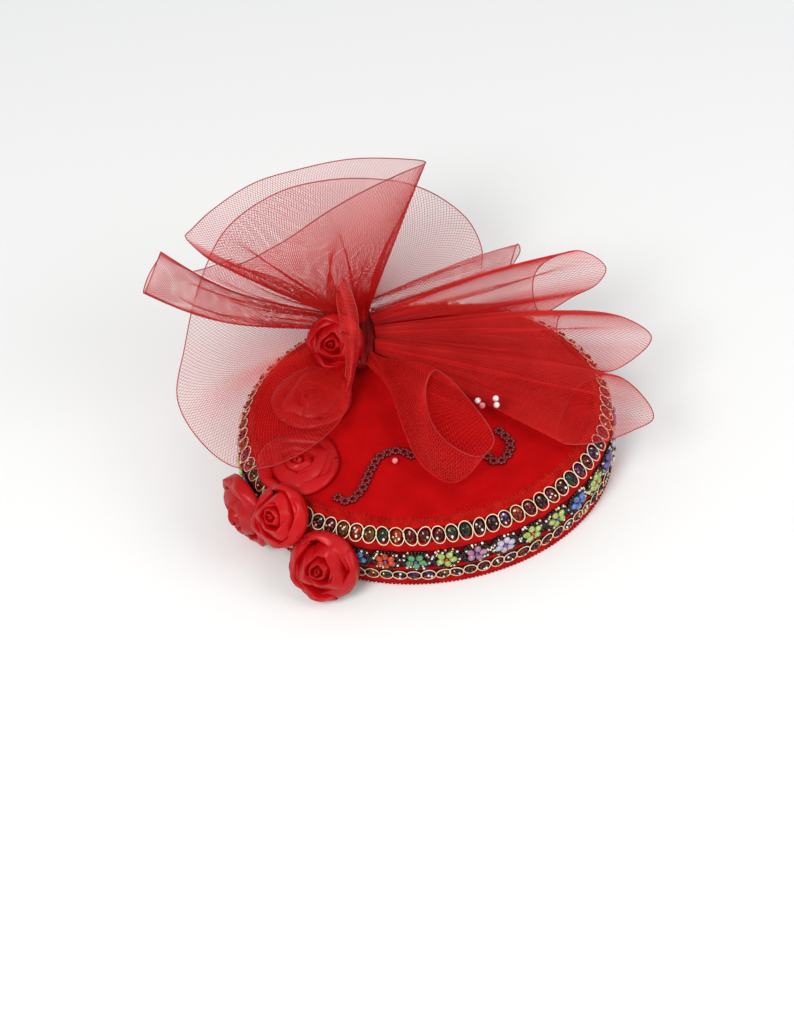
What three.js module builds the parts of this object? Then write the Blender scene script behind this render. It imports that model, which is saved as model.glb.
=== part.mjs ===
// An oval pillbox hat: a hollow crown, a beaded band round its wall, rolled ribbon roses,
// and a bow of stiff open braid bound on the far side of the tip.
// Millimetres, +Z up, +X the front of the hat. The rim of the crown rests on z = 0.
import * as THREE from 'three';

// Crown
const CROWN_LENGTH = 199;
const CROWN_WIDTH = 168;
const CROWN_HEIGHT = 42.5;
const CROWN_WALL = 2.5;
const SHOULDER_INSET = 8;
const SHOULDER_DROP = 9;

// Band round the crown, from the cloth outwards
const BACKING_THICKNESS = 1.2;
const BACKING_OVERLAP = 2;
const TRIM_THICKNESS = 1;
const RING_RELIEF = 1.1;
const FLOWER_RELIEF = 1.6;
const CELL_RELIEF = 0.6;
const RING_PITCH = 7.6;
const FLOWER_PITCH = 15.5;
const LAYER_GAP = 0.3;
const HEM_CLEARANCE = 0.5;

// Band rows, as heights up the wall and as shares across the shoulder
const LOWER_RINGS_START = 5.5;
const LOWER_RINGS_HEIGHT = 7.2;
const FLOWERS_HEIGHT = 16.6;
const ROW_GAP = 0.4;
const UPPER_RINGS_FROM = 0.14;
const UPPER_RINGS_TO = 0.88;

// Bow of braid
const BOW_LENGTH = 264;
const BOW_WIDTH = 180;
const BOW_RISE = 110;
const BRAID_THICKNESS = 1;
const KNOT_LENGTH = 48;
const KNOT_WIDTH = 17;
const KNOT_HEIGHT = 15;
const KNOT_BACK = 30;
const KNOT_OVERHANG = 8;
const SEAT_GAP = 0.4;
const LEAST_LEAN = 0.5;
const TIP_GAP = 0.3;

// Ribbon roses
const RIBBON_THICKNESS = 1.2;
const ROSE_RADIUS = 20;
const ROSE_DEPTH = 15;
const ROSE_HEART = 2.4;
const ROSE_TURNS = 2.4;
const ROSE_BASE_SHARE = 0.42;
const ROSE_PETAL_WAVE = 0.07;
const ROSE_WAVES_A_TURN = 2.5;
const ROSE_FLARE = 0.8;
const ROSE_OUTER_HEIGHT = 0.7;
const ROSE_BEDDING = 0.65;

// Bead scrolls on the tip
const SCROLL_WIDTH = 3;

// Fineness
const CROWN_STEPS = 48;
const ROSE_STEPS = 24;
const SCROLL_STEPS = 16;
const SCROLL_SIDES = 6;
const KNOT_STEPS = 12;
const WELD = 1e-4;

// Sizes that follow from those above
const halfLength = CROWN_LENGTH / 2;
const halfWidth = CROWN_WIDTH / 2;
const wallHeight = CROWN_HEIGHT - SHOULDER_DROP;
const backingOut = LAYER_GAP + BACKING_THICKNESS;
const trimIn = backingOut + LAYER_GAP;
const trimOut = trimIn + TRIM_THICKNESS;
const ringFront = trimOut + RING_RELIEF;
const flowerFront = trimOut + FLOWER_RELIEF;
const tipTop = CROWN_HEIGHT + TIP_GAP;

const table = (columns, ...rows) => {
  const names = columns.split(' ');
  return rows.map((row) => Object.fromEntries(names.map((name, i) => [name, row[i]])));
};

const radians = THREE.MathUtils.degToRad;

// A closed body is gathered from corners that are welded as they are added.
class Body {
  constructor() {
    this.found = new Map();
    this.corners = [];
    this.faces = [];
  }

  corner(p) {
    const key = [p.x, p.y, p.z].map((v) => Math.round(v / WELD)).join();
    if (!this.found.has(key)) {
      this.found.set(key, this.corners.length);
      this.corners.push(p);
    }
    return this.found.get(key);
  }

  triangle(a, b, c) {
    const face = [a, b, c].map((p) => this.corner(p));
    if (new Set(face).size === 3) this.faces.push(face);
  }

  strip(low, high, closed) {
    const count = closed ? low.length : low.length - 1;
    for (let j = 0; j < count; j += 1) {
      const k = (j + 1) % low.length;
      this.triangle(low[j], low[k], high[k]);
      this.triangle(low[j], high[k], high[j]);
    }
  }

  geometry() {
    const [a, b, c] = [0, 1, 2].map(() => new THREE.Vector3());
    const volume = this.faces.reduce((sum, face) => {
      [a, b, c].forEach((v, i) => v.copy(this.corners[face[i]]));
      return sum + a.dot(b.cross(c));
    }, 0);
    const faces = volume > 0 ? this.faces : this.faces.map(([i, j, k]) => [i, k, j]);
    const made = new THREE.BufferGeometry().setFromPoints(this.corners);
    made.setIndex(faces.flat());
    made.computeVertexNormals();
    return made;
  }
}

// A wall between two grids of points that share their ends: rows run from one edge of the
// wall to the other, and columns close on themselves round a hollow form.
function wall(front, back, closed) {
  const body = new Body();
  for (let i = 0; i + 1 < front.length; i += 1) body.strip(front[i], front[i + 1], closed);
  for (let i = 0; i + 1 < back.length; i += 1) body.strip(back[i + 1], back[i], closed);
  body.strip(back[0], front[0], closed);
  body.strip(front.at(-1), back.at(-1), closed);
  if (!closed) {
    const side = (grid, last) => grid.map((row) => (last ? row.at(-1) : row[0]));
    body.strip(side(front, false), side(back, false), false);
    body.strip(side(back, true), side(front, true), false);
  }
  return body.geometry();
}

// Cloth of even thickness about a grid of points on its middle surface.
function cloth(grid, thickness, closed) {
  const last = grid.length - 1;
  const normalAt = (i, j) => {
    const row = grid[i];
    const next = closed ? (j + 1) % row.length : Math.min(j + 1, row.length - 1);
    const prior = closed ? (j - 1 + row.length) % row.length : Math.max(j - 1, 0);
    const across = row[next].clone().sub(row[prior]);
    const along = grid[Math.min(i + 1, last)][j].clone().sub(grid[Math.max(i - 1, 0)][j]);
    return across.cross(along).normalize();
  };
  const shifted = (side) =>
    grid.map((row, i) => row.map((p, j) => p.clone().addScaledVector(normalAt(i, j), side)));
  return wall(shifted(thickness / 2), shifted(-thickness / 2), closed);
}

function mesh(name, geometry, color, roughness, metalness = 0) {
  const material = new THREE.MeshStandardMaterial({ color, roughness, metalness });
  const made = new THREE.Mesh(geometry, material);
  made.name = name;
  return made;
}

// Places on the crown's outside: how far in from the wall, how high, and which way is out.
const shoulderOut = new THREE.Vector2(SHOULDER_DROP, SHOULDER_INSET).normalize();
const upWall = new THREE.Vector2(1, 0);
const upTip = new THREE.Vector2(0, 1);
const mitre = (a, b) => a.clone().add(b).divideScalar(1 + a.dot(b));

const onWall = (height) => ({ inset: 0, height, out: upWall });
const wallTop = { inset: 0, height: wallHeight, out: mitre(upWall, shoulderOut) };
const onShoulder = (share) => ({
  inset: SHOULDER_INSET * share,
  height: wallHeight + SHOULDER_DROP * share,
  out: shoulderOut,
});
const shoulderTop = {
  inset: SHOULDER_INSET,
  height: CROWN_HEIGHT,
  out: mitre(shoulderOut, upTip),
};
const onTip = (inward) => ({ inset: SHOULDER_INSET + inward, height: CROWN_HEIGHT, out: upTip });

function onCrown(place, out, turn) {
  const grow = out * place.out.x - place.inset;
  return new THREE.Vector3(
    (halfLength + grow) * Math.cos(turn),
    (halfWidth + grow) * Math.sin(turn),
    place.height + out * place.out.y,
  );
}

function outAt(place, turn) {
  const round = new THREE.Vector3(halfWidth * Math.cos(turn), halfLength * Math.sin(turn), 0);
  return round.normalize().multiplyScalar(place.out.x).setZ(place.out.y).normalize();
}

const oval = (place, out, steps) =>
  Array.from({ length: steps }, (_, j) => onCrown(place, out, (2 * Math.PI * j) / steps));

function crown() {
  const places = [onWall(0), wallTop, shoulderTop];
  const middle = (height) => Array(CROWN_STEPS).fill(new THREE.Vector3(0, 0, height));
  const skin = (out) => [
    ...places.map((place) => oval(place, out, CROWN_STEPS)),
    middle(CROWN_HEIGHT + out),
  ];
  return mesh('crown', wall(skin(0), skin(-CROWN_WALL), true), 0xb3070c, 0.75);
}

function backing() {
  const places = [onWall(HEM_CLEARANCE), wallTop, shoulderTop, onTip(BACKING_OVERLAP)];
  const skin = (out) => places.map((place) => oval(place, out, CROWN_STEPS));
  return mesh('trim_backing', wall(skin(backingOut), skin(LAYER_GAP), true), 0xa3060c, 0.95);
}

// A row of the band. Each repeat has its own columns, and relief says how far each column of
// each of the three places across the row stands out.
function bandRow(name, places, repeats, relief, color) {
  const columns = relief[0].length;
  const steps = repeats * columns;
  const turnOf = (j) => (2 * Math.PI * j) / steps;
  const front = places.map((place, i) =>
    Array.from({ length: steps }, (_, j) =>
      onCrown(place, trimOut + relief[i][j % columns], turnOf(j)),
    ),
  );
  const back = [places[0], places.at(-1)].map((place) => oval(place, trimIn, steps));
  return mesh(name, wall(front, back, true), color, 0.4, 0.3);
}

const between = (from, to, share) => from + (to - from) * share;

const perimeter = (2 * Math.PI * Math.hypot(halfLength, halfWidth)) / Math.SQRT2;
const ringCount = Math.round(perimeter / RING_PITCH);
const flowerCount = Math.round(perimeter / FLOWER_PITCH);

function bandRows() {
  const flowersStart = LOWER_RINGS_START + LOWER_RINGS_HEIGHT + ROW_GAP;
  const across = [0, 0.5, 1];
  const ringRelief = [[0, 0], [RING_RELIEF, 0], [0, 0]];
  const flowerMiddle = [CELL_RELIEF, 0, FLOWER_RELIEF, 0];
  const flowerEdge = flowerMiddle.map(() => CELL_RELIEF);
  const flowerRelief = [flowerEdge, flowerMiddle, flowerEdge];
  const lower = across.map((share) => onWall(LOWER_RINGS_START + LOWER_RINGS_HEIGHT * share));
  const flowers = across.map((share) => onWall(flowersStart + FLOWERS_HEIGHT * share));
  const upper = across.map((share) => onShoulder(between(UPPER_RINGS_FROM, UPPER_RINGS_TO, share)));
  return [
    bandRow('trim_lower_rings', lower, ringCount, ringRelief, 0xc9a77a),
    bandRow('trim_flower_row', flowers, flowerCount, flowerRelief, 0x4a3a3a),
    bandRow('trim_upper_rings', upper, ringCount, ringRelief, 0xc9a77a),
  ];
}

// The knot stands a little behind the middle, its far end just over the edge of the tip.
const tipInset = SHOULDER_INSET + BACKING_OVERLAP;
const tipEdge = (halfWidth - tipInset) * Math.sqrt(1 - (KNOT_BACK / (halfLength - tipInset)) ** 2);
const knotHalf = new THREE.Vector3(KNOT_WIDTH / 2, KNOT_LENGTH / 2, KNOT_HEIGHT / 2);
const knotMiddle = new THREE.Vector3(
  -KNOT_BACK,
  tipEdge + KNOT_OVERHANG - knotHalf.y,
  tipTop + knotHalf.z,
);

// The bow's own places: shares of its length and width from the knot, and of its rise above
// the tip.
const inBow = ({ along, across, rise }) =>
  new THREE.Vector3(
    knotMiddle.x + BOW_LENGTH * along,
    knotMiddle.y + BOW_WIDTH * across,
    tipTop + BOW_RISE * rise,
  );

// A place on the oval knot: which way round it, and a level from -1 at its foot to 1 on top.
function onKnot(turn, level, gap) {
  const round = Math.sqrt(1 - level * level);
  const unit = new THREE.Vector3(
    round * Math.cos(radians(turn)),
    round * Math.sin(radians(turn)),
    level,
  );
  const out = unit.clone().divide(knotHalf).normalize();
  const at = unit.multiply(knotHalf).add(knotMiddle).addScaledVector(out, gap);
  return { at, out };
}

function knot() {
  const profile = Array.from({ length: KNOT_STEPS / 2 + 1 }, (_, i) => {
    const turn = (Math.PI * i) / (KNOT_STEPS / 2) - Math.PI / 2;
    return new THREE.Vector2(Math.cos(turn), Math.sin(turn));
  });
  profile[0].x = 0;
  profile.at(-1).x = 0;
  const body = new Body();
  const rings = profile.map((p) =>
    Array.from({ length: KNOT_STEPS }, (_, j) => {
      const turn = (2 * Math.PI * j) / KNOT_STEPS;
      const unit = new THREE.Vector3(p.x * Math.cos(turn), p.y, p.x * Math.sin(turn));
      return unit.multiply(knotHalf).add(knotMiddle);
    }),
  );
  for (let i = 0; i + 1 < rings.length; i += 1) body.strip(rings[i], rings[i + 1], true);
  return mesh('bow_knot', body.geometry(), 0x7d0509, 0.6);
}

// Braid gathered at the knot and opening to a rim, with a swell between the two that lies
// nearer to the rim as skew grows.
function opened(gather, rim, swells, push, skew, rows) {
  return Array.from({ length: rows + 1 }, (_, i) => {
    const share = i / rows;
    const lift = Math.sin(Math.PI * share ** skew);
    return gather.map((p, j) =>
      p.clone().lerp(rim[j], share).addScaledVector(push, lift * swells[j]),
    );
  });
}

// The rim's points at even steps, each with the swell of the rows on its two sides.
function rimOf(rows, closed, steps) {
  const curve = new THREE.CatmullRomCurve3(rows.map(inBow), closed, 'centripetal');
  const swellCurve = new THREE.CatmullRomCurve3(
    rows.map((row) => new THREE.Vector3(row.swell, 0, 0)),
    closed,
  );
  const points = [];
  const swells = [];
  for (let j = 0; j < steps; j += 1) {
    const way = curve.getUtoTmapping(j / (closed ? steps : steps - 1));
    points.push(curve.getPoint(way));
    swells.push(swellCurve.getPoint(way).x);
  }
  return { points, swells };
}

const swellPush = (push) =>
  new THREE.Vector3(BOW_LENGTH * push.along, BOW_WIDTH * push.across, BOW_RISE * push.rise);

// A cornet loop: its neck is a small oval at the knot, turned so that the braid isn't twisted.
function cornet({ name, turn, level, neck, push, skew, steps, rows, rim }) {
  const { points, swells } = rimOf(rim, true, steps);
  const seat = onKnot(turn, level, SEAT_GAP);
  const side = new THREE.Vector3(0, 0, 1).cross(seat.out);
  if (side.length() < LEAST_LEAN) side.set(1, 0, 0);
  side.normalize();
  const up = seat.out.clone().cross(side);
  const middle = points.reduce((sum, p) => sum.add(p), new THREE.Vector3()).divideScalar(steps);
  const angles = points.map((p) => {
    const arm = p.clone().sub(middle);
    return Math.atan2(arm.dot(up), arm.dot(side));
  });
  const swept = angles.reduce((sum, angle, j) => {
    const step = angles[(j + 1) % steps] - angle;
    return sum + Math.atan2(Math.sin(step), Math.cos(step));
  }, 0);
  const gather = points.map((_, j) => {
    const angle = angles[0] + (Math.sign(swept) * 2 * Math.PI * j) / steps;
    return seat.at
      .clone()
      .addScaledVector(side, KNOT_WIDTH * neck * Math.cos(angle))
      .addScaledVector(up, KNOT_WIDTH * neck * Math.sin(angle));
  });
  const grid = opened(gather, points, swells, swellPush(push), skew, rows);
  return mesh(name, cloth(grid, BRAID_THICKNESS, true), 0xc8101a, 0.5);
}

const CORNETS = [
  {
    name: 'braid_upright_loop',
    turn: 90,
    level: 0.97,
    neck: 0.29,
    push: { along: 0, across: -0.03, rise: 0 },
    skew: 1.4,
    steps: 28,
    rows: 6,
    rim: table(
      'along across rise swell',
      [-0.315, -0.03, 0.93, 0],
      [-0.265, 0.07, 0.91, 0.3],
      [-0.175, 0.17, 0.91, 0.3],
      [-0.075, 0.23, 0.88, 0.3],
      [0.025, 0.26, 0.86, 0.3],
      [0.125, 0.23, 0.87, 0.3],
      [0.175, 0.17, 0.92, 0],
      [0.125, 0.09, 0.99, 0.6],
      [0.035, 0.03, 0.98, 1],
      [-0.035, -0.01, 0.94, 1],
      [-0.135, -0.06, 0.85, 1],
      [-0.245, -0.08, 0.78, 0.5],
    ),
  },
  {
    name: 'braid_left_loop',
    turn: 165,
    level: 0.35,
    neck: 0.235,
    push: { along: 0, across: 0, rise: -0.1 },
    skew: 1.4,
    steps: 14,
    rows: 6,
    rim: table(
      'along across rise swell',
      [-0.365, -0.13, 0.97, 1],
      [-0.39, -0.17, 0.92, 1],
      [-0.405, -0.18, 0.84, 1],
      [-0.405, -0.14, 0.77, 1],
      [-0.385, -0.09, 0.82, 1],
      [-0.365, -0.08, 0.92, 1],
    ),
  },
  {
    name: 'braid_front_loop_a',
    turn: 50,
    level: 0.45,
    neck: 0.205,
    push: { along: 0, across: 0, rise: 0.03 },
    skew: 1.4,
    steps: 16,
    rows: 5,
    rim: table(
      'along across rise swell',
      [0.345, 0.12, 0.38, 1],
      [0.33, 0.08, 0.34, 1],
      [0.325, 0.08, 0.28, 0.5],
      [0.335, 0.11, 0.27, 0],
      [0.35, 0.13, 0.31, 0],
    ),
  },
  {
    name: 'braid_front_loop_b',
    turn: 22,
    level: 0.28,
    neck: 0.225,
    push: { along: 0, across: 0, rise: 0.03 },
    skew: 1.4,
    steps: 18,
    rows: 5,
    rim: table(
      'along across rise swell',
      [0.515, -0.04, 0.41, 0],
      [0.465, 0.02, 0.45, 1],
      [0.385, 0, 0.41, 1],
      [0.365, -0.03, 0.34, 0.5],
      [0.375, -0.07, 0.2, 0],
      [0.445, -0.06, 0.27, 0],
      [0.495, -0.06, 0.34, 0],
    ),
  },
  {
    name: 'braid_front_loop_c',
    turn: -1,
    level: 0.08,
    neck: 0.225,
    push: { along: 0, across: 0, rise: 0.03 },
    skew: 1.4,
    steps: 18,
    rows: 5,
    rim: table(
      'along across rise swell',
      [0.585, -0.28, 0.3, 0],
      [0.545, -0.19, 0.29, 1],
      [0.475, -0.13, 0.27, 1],
      [0.415, -0.11, 0.24, 1],
      [0.405, -0.17, 0.16, 0.5],
      [0.485, -0.3, 0.13, 0],
      [0.555, -0.29, 0.2, 0],
    ),
  },
  {
    name: 'braid_front_loop_d',
    turn: -24,
    level: 0.05,
    neck: 0.225,
    push: { along: 0, across: 0, rise: 0.03 },
    skew: 1.4,
    steps: 18,
    rows: 5,
    rim: table(
      'along across rise swell',
      [0.565, -0.52, 0.16, 0],
      [0.545, -0.42, 0.18, 1],
      [0.495, -0.33, 0.16, 1],
      [0.425, -0.35, 0.12, 0.5],
      [0.375, -0.51, 0.06, 0],
      [0.455, -0.55, 0.09, 0],
      [0.525, -0.54, 0.13, 0],
    ),
  },
  {
    name: 'braid_near_loop',
    turn: -56,
    level: 0.1,
    neck: 0.225,
    push: { along: -0.01, across: -0.15, rise: -0.08 },
    skew: 2.2,
    steps: 20,
    rows: 6,
    rim: table(
      'along across rise swell',
      [0.245, -0.56, 0.2, 0.3],
      [0.215, -0.45, 0.26, 0],
      [0.145, -0.29, 0.26, 0],
      [0.125, -0.32, 0.22, 0.5],
      [0.125, -0.43, 0.18, 1],
      [0.155, -0.52, 0.15, 1],
      [0.215, -0.58, 0.14, 0.9],
    ),
  },
];

// The wide single layer: it lies over the back of the tip, sticks out past the crown and
// stands up behind the loops. Its gather runs round the foot of the knot.
const WHEEL_STEPS = 30;
const WHEEL_ROWS = 5;
const WHEEL_FROM = { turn: 222, level: -0.62 };
const WHEEL_TO = { turn: 76, level: 0.05 };
const WHEEL_PUSH = { along: 0, across: 0, rise: 0.085 };
const WHEEL_SKEW = 1.4;
const WHEEL_RIM = table(
  'along across rise swell',
  [-0.03, -0.13, 0.06, 0],
  [-0.025, -0.21, 0.1, 0.5],
  [-0.055, -0.36, 0.11, 1],
  [-0.125, -0.46, 0.11, 1],
  [-0.205, -0.5, 0.09, 1],
  [-0.275, -0.47, 0.06, 1],
  [-0.345, -0.34, 0.05, 1],
  [-0.385, -0.17, 0.07, 0.3],
  [-0.36, -0.05, 0.2, 0],
  [-0.32, 0.06, 0.4, 0],
  [-0.25, 0.2, 0.57, 0],
  [-0.14, 0.31, 0.61, 0],
  [-0.03, 0.37, 0.57, 0],
  [0.07, 0.39, 0.51, 0],
  [0.145, 0.39, 0.44, 0],
  [0.205, 0.37, 0.35, 0],
  [0.255, 0.32, 0.25, 0],
  [0.275, 0.26, 0.14, 0],
);

function wheel() {
  const { points, swells } = rimOf(WHEEL_RIM, false, WHEEL_STEPS);
  const gather = points.map((_, j) => {
    const share = j / (WHEEL_STEPS - 1);
    const turn = between(WHEEL_FROM.turn, WHEEL_TO.turn, share);
    const level = between(WHEEL_FROM.level, WHEEL_TO.level, share);
    return onKnot(turn, level, SEAT_GAP + BRAID_THICKNESS / 2).at;
  });
  const grid = opened(gather, points, swells, swellPush(WHEEL_PUSH), WHEEL_SKEW, WHEEL_ROWS);
  return mesh('braid_wheel', cloth(grid, BRAID_THICKNESS, false), 0xc8101a, 0.5);
}

// A rolled rose: one ribbon wound outwards from its heart, its foot narrower than its lip.
function roseGeometry(radius, depth) {
  const ribbon = [0, 0.5, 1].map((rise) =>
    Array.from({ length: ROSE_STEPS + 1 }, (_, j) => {
      const share = j / ROSE_STEPS;
      const turn = 2 * Math.PI * ROSE_TURNS * share;
      const wave = 1 + ROSE_PETAL_WAVE * Math.cos(ROSE_WAVES_A_TURN * turn) * share;
      const lip = between(ROSE_HEART, radius, share) * wave;
      const reach = lip * between(ROSE_BASE_SHARE, 1, rise ** ROSE_FLARE);
      const height = depth * rise * between(1, ROSE_OUTER_HEIGHT, share);
      return new THREE.Vector3(reach * Math.cos(turn), reach * Math.sin(turn), height);
    }),
  );
  return cloth(ribbon, RIBBON_THICKNESS, false);
}

function rose(name, { width, deep }, seat, axis) {
  const geometry = roseGeometry(ROSE_RADIUS * width, ROSE_DEPTH * deep);
  const made = mesh(name, geometry, 0xb40d12, 0.35);
  made.position.copy(seat);
  made.quaternion.setFromUnitVectors(new THREE.Vector3(0, 0, 1), axis.clone().normalize());
  return made;
}

// Each rose has a width and a depth that are shares of the full size. Roses on the wall stand at
// their own radius and a share of the crown's height above the rim, and lean up by lean degrees.
const WALL_ROSES = table(
  'name turn lift lean width deep',
  ['rose_back_left', -156, 0.08, 0, 0.95, 1],
  ['rose_side', -121, 0.02, 28, 0.88, 0.93],
);
const SHOULDER_ROSES = table('name turn share width deep', ['rose_back_mid', -139, 0.1, 0.8, 0.93]);
const TIP_ROSES = table(
  'name along across width deep',
  ['rose_tip', -0.7, -0.38, 0.95, 0.43],
  ['rose_under_braid', -0.6, 0.16, 1.05, 0.4],
);
const KNOT_ROSE = { turn: 216, level: 0.6, width: 0.7, deep: 0.8 };
const KNOT_ROSE_LEAN = new THREE.Vector3(0, -0.5, 0.4);

function roses() {
  const seatOut = LAYER_GAP + RIBBON_THICKNESS / 2;
  const foot = (row) => ROSE_RADIUS * row.width * ROSE_BASE_SHARE;
  const walls = WALL_ROSES.map((row) => {
    const place = onWall(ROSE_RADIUS * row.width + HEM_CLEARANCE + CROWN_HEIGHT * row.lift);
    const lean = radians(row.lean);
    const out = flowerFront + RIBBON_THICKNESS / 2 + foot(row) * Math.sin(lean);
    const axis = outAt(place, radians(row.turn)).multiplyScalar(Math.cos(lean)).setZ(Math.sin(lean));
    return rose(row.name, row, onCrown(place, out, radians(row.turn)), axis);
  });
  const shoulders = SHOULDER_ROSES.map((row) => {
    const place = onShoulder(row.share);
    const turn = radians(row.turn);
    return rose(row.name, row, onCrown(place, ringFront + seatOut, turn), outAt(place, turn));
  });
  const tips = TIP_ROSES.map((row) => {
    const height = tipTop + RIBBON_THICKNESS / 2;
    const seat = new THREE.Vector3(halfLength * row.along, halfWidth * row.across, height);
    return rose(row.name, row, seat, new THREE.Vector3(0, 0, 1));
  });
  const { out } = onKnot(KNOT_ROSE.turn, KNOT_ROSE.level, 0);
  const axis = out.clone().add(KNOT_ROSE_LEAN).normalize();
  const dip = foot(KNOT_ROSE) * Math.sin(axis.angleTo(out)) * ROSE_BEDDING;
  const seat = onKnot(KNOT_ROSE.turn, KNOT_ROSE.level, SEAT_GAP + RIBBON_THICKNESS / 2 + dip);
  return [...walls, ...shoulders, ...tips, rose('rose_bow', KNOT_ROSE, seat.at, axis)];
}

// Bead scrolls sewn on the tip, as shares of the crown's half length and half width.
const SCROLLS = {
  bead_scroll_back: table(
    'along across',
    [-0.46, -0.64],
    [-0.38, -0.55],
    [-0.32, -0.43],
    [-0.23, -0.34],
    [-0.14, -0.33],
    [-0.09, -0.38],
  ),
  bead_scroll_front: table(
    'along across',
    [0.39, -0.26],
    [0.44, -0.36],
    [0.42, -0.46],
    [0.36, -0.52],
    [0.31, -0.46],
  ),
};

function scroll(name, rows) {
  const height = tipTop + SCROLL_WIDTH / 2;
  const path = new THREE.CatmullRomCurve3(
    rows.map((row) => new THREE.Vector3(halfLength * row.along, halfWidth * row.across, height)),
  );
  const corners = Array.from({ length: SCROLL_SIDES }, (_, i) => {
    const turn = (2 * Math.PI * (i + 0.5)) / SCROLL_SIDES;
    return new THREE.Vector2(Math.cos(turn), Math.sin(turn)).multiplyScalar(SCROLL_WIDTH / 2);
  });
  const settings = { steps: SCROLL_STEPS, extrudePath: path };
  const tube = new THREE.ExtrudeGeometry(new THREE.Shape(corners), settings);
  return mesh(name, tube, 0x4a0306, 0.3, 0.2);
}

// Assembly, with the origin at the middle of the foot of the whole hat
const hat = new THREE.Group();
hat.add(crown(), backing(), ...bandRows(), knot(), ...CORNETS.map(cornet), wheel(), ...roses());
Object.entries(SCROLLS).forEach(([name, rows]) => hat.add(scroll(name, rows)));

const extent = new THREE.Box3().setFromObject(hat, true);
const middle = extent.getCenter(new THREE.Vector3());
hat.position.set(-middle.x, -middle.y, -extent.min.z);
hat.updateMatrixWorld(true);

const part = new THREE.Group();
part.add(hat);

export default part;
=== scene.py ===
"""An oval pillbox hat with a bow of open horsehair braid, ribbon roses and a beaded band.

Lengths are in metres, with +Z up and +X the front of the hat. Sizes are written in millimetres
and turned into metres by MM.
"""

import math

import bpy
import numpy as np
from mathutils import Matrix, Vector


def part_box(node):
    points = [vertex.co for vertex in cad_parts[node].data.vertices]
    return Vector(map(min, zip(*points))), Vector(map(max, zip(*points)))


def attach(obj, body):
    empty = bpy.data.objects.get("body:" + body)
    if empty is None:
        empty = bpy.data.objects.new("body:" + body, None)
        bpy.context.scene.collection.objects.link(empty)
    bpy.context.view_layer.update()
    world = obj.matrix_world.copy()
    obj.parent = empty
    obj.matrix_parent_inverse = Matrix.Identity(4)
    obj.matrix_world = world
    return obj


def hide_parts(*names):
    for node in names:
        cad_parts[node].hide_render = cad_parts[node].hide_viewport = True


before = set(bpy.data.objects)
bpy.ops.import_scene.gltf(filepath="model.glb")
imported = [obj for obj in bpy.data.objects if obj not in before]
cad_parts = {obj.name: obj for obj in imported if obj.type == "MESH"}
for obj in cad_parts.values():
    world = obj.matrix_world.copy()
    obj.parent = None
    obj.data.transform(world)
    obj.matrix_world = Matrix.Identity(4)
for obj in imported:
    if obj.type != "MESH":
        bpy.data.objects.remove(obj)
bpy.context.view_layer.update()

MM = 0.001
RANDOM = np.random.default_rng(7)

# The crown, read from the frame
crown_low, crown_high = (np.array(corner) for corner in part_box("crown"))
CROWN_CENTRE = np.array([*(crown_low + crown_high)[:2] / 2, 0])
HALF_LENGTH, HALF_WIDTH = (crown_high - crown_low)[:2] / 2
CROWN_HEIGHT = crown_high[2]
SHOULDER_INSET = 8 * MM
SHOULDER_DROP = 9 * MM

# The bow, about the knot
knot_low, knot_high = (np.array(corner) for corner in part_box("bow_knot"))
KNOT = (knot_low + knot_high) / 2
KNOT_HALF = (knot_high - knot_low) / 2
BOW_SIZE = np.array([264, 180, 110]) * MM
TIP_TOP = CROWN_HEIGHT + 0.3 * MM
SEAT_GAP = 0.4 * MM

# Horsehair braid
STRAND_PITCH = 1.7 * MM
STRAND_RADIUS = 0.12 * MM
STRAND_STEP = 4.5 * MM
LAYER_GAP = 0.35 * MM
SELVEDGE_RADIUS = 0.3 * MM
CREASE_RADIUS = 0.2 * MM

# Camera and light
ELEVATION = math.radians(49.2)
ROLL = math.radians(6.5)
DISTANCE = 1.5
FRAME_WIDTH, FRAME_HEIGHT = 794, 1024
FOCAL_PIXELS = 2727.3
CENTRE_COLUMN, CENTRE_ROW = 429.2, 461.6
SENSOR = 36.0


# Meshes

SPAN_STEPS = 40


def new_object(name, points, faces, materials, which=None):
    """An object from arrays of points and faces, with a material number for each face."""
    mesh = bpy.data.meshes.new(name)
    mesh.from_pydata(points.tolist(), [], faces.tolist())
    for material in materials:
        mesh.materials.append(material)
    if which is not None:
        mesh.polygons.foreach_set("material_index", np.asarray(which, np.int32))
    mesh.polygons.foreach_set("use_smooth", np.ones(len(mesh.polygons), bool))
    mesh.update()
    made = bpy.data.objects.new(name, mesh)
    bpy.context.scene.collection.objects.link(made)
    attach(made, "root")
    return made


def joined(parts):
    """One pair of arrays of points and faces from several."""
    points, faces, start = [], [], 0
    for part_points, part_faces in parts:
        points.append(part_points)
        faces.append(part_faces + start)
        start += len(part_points)
    return np.concatenate(points), np.concatenate(faces)


def grid_faces(rows, columns, closed=False):
    """Quads of a grid whose points are numbered row by row."""
    across = np.arange(columns if closed else columns - 1)
    down = np.arange(rows - 1)[:, None] * columns
    beside = (across + 1) % columns
    below = down + columns
    return np.stack([down + across, down + beside, below + beside, below + across], -1).reshape(-1, 4)


def unit(vectors):
    return vectors / np.maximum(np.linalg.norm(vectors, axis=-1, keepdims=True), 1e-12)


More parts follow.
